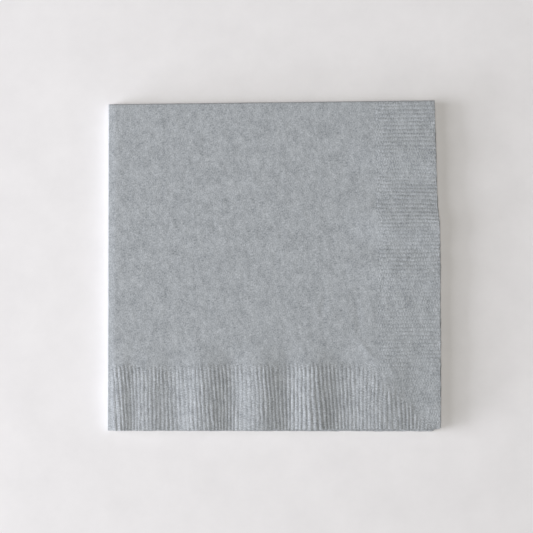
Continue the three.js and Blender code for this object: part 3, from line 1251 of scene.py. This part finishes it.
@dataclass(frozen=True)
class PaleTable(MottledFinish):
    """Matt off-white paint, rolled on, so that it is faintly cloudy."""

    name: str = "pale_painted_table"
    dark: str = "e6e5e7"
    pale: str = "ecebed"
    cloud_size: float = 20.0
    cloud_detail: float = 4.0
    cloud_roughness: float = 0.65
    tint_from: float = 0.3
    tint_to: float = 0.7
    roughness: float = 0.8

    def material(self) -> bpy.types.Material:
        """Builds the finish.

        Returns:
            The material.
        """
        paint = self.bare_material()
        tree = paint.node_tree
        place = tree.nodes.new("ShaderNodeTexCoord").outputs["Object"]
        clouds = add_node(
            tree,
            "ShaderNodeTexNoise",
            Vector=place,
            Scale=1 / (self.cloud_size * MM),
            Detail=self.cloud_detail,
            Roughness=self.cloud_roughness,
        )
        colour = self.colour(tree, clouds)
        surface = add_node(
            tree, "ShaderNodeBsdfPrincipled", Base_Color=colour, Roughness=self.roughness
        )
        add_node(tree, "ShaderNodeOutputMaterial", Surface=surface)
        return paint


@dataclass(frozen=True)
class SoftLight:
    """A soft box. Its place, width and height are in metres, and it looks at the napkin."""

    name: str
    place: tuple[float, float, float]
    width: float
    height: float
    watts: float
    colour: str

    def add(self) -> None:
        """Puts the light in the scene."""
        data = bpy.data.lights.new(self.name, "AREA")
        data.shape = "RECTANGLE"
        data.size = self.width
        data.size_y = self.height
        data.energy = self.watts
        data.color = linear_colour(self.colour)[:3]
        lamp = bpy.data.objects.new(self.name, data)
        lamp.location = self.place
        lamp.rotation_euler = (-Vector(self.place)).to_track_quat("-Z", "Y").to_euler()
        bpy.context.scene.collection.objects.link(lamp)


@dataclass
class Studio:
    """The pale table, the soft lights and the camera straight above.

    The table's side and the camera's height, place and reach are in metres.
    """

    table: PaleTable = field(default_factory=PaleTable)
    table_side: float = 4.0
    lights: tuple[SoftLight, ...] = (
        SoftLight("low_key_light", (-1.5, -0.6, 0.22), 0.8, 0.22, 19.5, "f7f8ff"),
        SoftLight("key_light", (-1.4, -0.1, 0.5), 0.8, 0.42, 14.0, "f7f8ff"),
        SoftLight("high_key_light", (-1.15, -0.06, 1.05), 0.8, 0.8, 6.3, "f9faff"),
        SoftLight("overhead_light", (0.0, -0.05, 2.7), 0.5, 0.5, 35.0, "fffbf2"),
    )
    sky: str = "ffffff"
    sky_strength: float = 0.03
    camera_height: float = 2.2
    camera_place: tuple[float, float] = (-0.00315, -0.0001)
    camera_reach: float = 10.0
    photo_pixels: int = 533
    mm_per_pixel: float = 0.389
    sensor: float = 36.0

    def add_table(self) -> bpy.types.Object:
        """Adds the surface that the napkin lies on.

        Returns:
            The floor.
        """
        reach = self.table_side / 2
        mesh = bpy.data.meshes.new("floor")
        corners = [(-reach, -reach, 0.0), (reach, -reach, 0.0), (reach, reach, 0.0), (-reach, reach, 0.0)]
        mesh.from_pydata(corners, [], [(0, 1, 2, 3)])
        mesh.materials.append(self.table.material())
        floor = bpy.data.objects.new("floor", mesh)
        bpy.context.scene.collection.objects.link(floor)
        return floor

    def add_sky(self) -> None:
        """Lights the scene evenly from all round."""
        world = bpy.data.worlds.new("soft_room")
        world.use_nodes = True
        background = world.node_tree.nodes["Background"]
        background.inputs["Color"].default_value = linear_colour(self.sky)
        background.inputs["Strength"].default_value = self.sky_strength
        bpy.context.scene.world = world

    def add_camera(self) -> None:
        """Adds the camera, which looks straight down and takes in what the photo does."""
        data = bpy.data.cameras.new("camera")
        data.sensor_width = self.sensor
        data.lens = self.sensor * self.camera_height / (self.photo_pixels * self.mm_per_pixel * MM)
        data.clip_end = self.camera_reach
        camera = bpy.data.objects.new("camera", data)
        camera.location = (*self.camera_place, self.camera_height)
        bpy.context.scene.collection.objects.link(camera)
        bpy.context.scene.camera = camera

    def build(self) -> None:
        """Builds the whole studio."""
        self.add_table()
        self.add_sky()
        for light in self.lights:
            light.add()
        self.add_camera()
        bpy.context.scene.view_settings.view_transform = "Standard"


def main() -> None:
    """Builds the studio and the napkin, and reports each piece."""
    logging.basicConfig(level=logging.INFO, format="%(name)s: %(message)s")
    studio = Studio()
    studio.build()
    LOG.info("studio: table, %d lights and camera", len(studio.lights))
    napkin = Napkin()
    piece = napkin.build()
    napkin.smooth_shading(piece)
    napkin.join_frame(piece)
    layers = ", ".join(layer.name for layer in napkin.fold.uneven.layers)
    triangles = sum(len(polygon.vertices) - 2 for polygon in piece.data.polygons)
    LOG.info("%s: %d triangles in four layers, %s", piece.name, triangles, layers)


if __name__ == "__main__":
    main()
